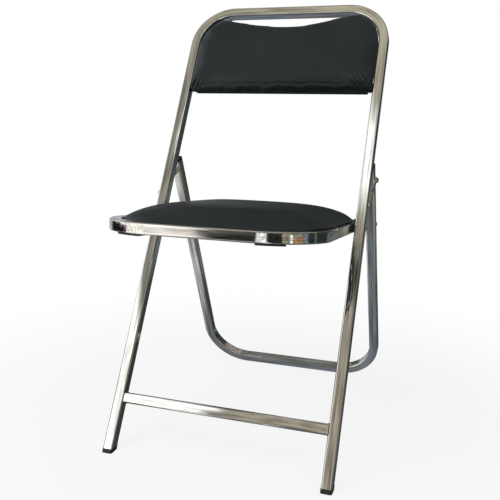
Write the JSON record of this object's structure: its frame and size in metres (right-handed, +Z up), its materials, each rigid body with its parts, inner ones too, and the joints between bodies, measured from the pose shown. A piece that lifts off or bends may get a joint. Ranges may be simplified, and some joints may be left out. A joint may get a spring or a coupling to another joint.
{
  "type": "padded folding chair",
  "caption": "Folding chair with a leaning square-tube front frame, a rear support frame, a bent tube seat rim, outer fold links, and a padded vinyl seat and backrest.",
  "frame": {"origin": "middle of the footprint on the floor", "axes": "+Z up, the chair faces -Y, +X to the right of a viewer in front of it"},
  "size_m": [0.4342, 0.6192, 0.8255],
  "materials": {
    "chrome": "bright plated square steel tube and flat links",
    "steel": "plain rivets, screws, tabs and plates",
    "blacked_steel": "black corner plates and strap under the seat",
    "vinyl": "black grained vinyl with a soft sheen over foam",
    "black_plastic": "black moulded feet, caps, plugs and washers",
    "panel": "dark pressed board"
  },
  "bodies": {
    "front": {"back_board": "panel", "back_pad": "vinyl", "back_screw_lower_left": "steel", "back_screw_lower_right": "steel", "back_screw_upper_left": "steel", "back_screw_upper_right": "steel", "back_tab_lower_left": "steel", "back_tab_lower_right": "steel", "back_tab_upper_left": "steel", "back_tab_upper_right": "steel", "front_foot_left": "black_plastic", "front_foot_right": "black_plastic", "front_frame": "chrome", "front_rung": "chrome", "link_rivet_left": "steel", "link_rivet_right": "steel", "seat_rivet_left": "steel", "seat_rivet_right": "steel", "seat_washer_left": "black_plastic", "seat_washer_right": "black_plastic"},
    "seat": {"rear_rivet_tail_left": "steel", "rear_rivet_tail_right": "steel", "seat_board": "panel", "seat_corner_plate_left": "blacked_steel", "seat_corner_plate_right": "blacked_steel", "seat_frame": "chrome", "seat_pad": "vinyl", "seat_plug_left": "black_plastic", "seat_plug_right": "black_plastic", "seat_rear_strap": "blacked_steel", "seat_screw_front_left": "steel", "seat_screw_front_right": "steel", "seat_screw_rear_left": "steel", "seat_screw_rear_right": "steel"},
    "links": {"link_left": "chrome", "link_right": "chrome"},
    "rear": {"leg_rivet_left": "steel", "leg_rivet_right": "steel", "rear_cap_left": "black_plastic", "rear_cap_right": "black_plastic", "rear_frame": "chrome", "rear_rivet_left": "steel", "rear_rivet_right": "steel", "rear_washer_left": "black_plastic", "rear_washer_right": "black_plastic"}
  },
  "joints": [
    {"name": "seat_fold", "type": "hinge", "parent": "front", "child": "seat", "pos_m": [0, -0.01244, 0.40131], "axis": [-1, 0, 0], "range_deg": [0, 104.8]},
    {"name": "link_fold", "type": "hinge", "parent": "front", "child": "links", "pos_m": [0, 0.0094, 0.44179], "axis": [-1, 0, 0], "range_deg": [0, 133.5]},
    {"name": "rear_fold", "type": "hinge", "parent": "links", "child": "rear", "pos_m": [0, 0.07931, 0.48196], "axis": [-1, 0, 0], "range_deg": [-80.3, 0]}
  ],
  "couplings": [
    {"joint": "link_fold", "follows": "seat_fold", "ratio": 1.2737},
    {"joint": "rear_fold", "follows": "seat_fold", "ratio": -0.76568}
  ]
}
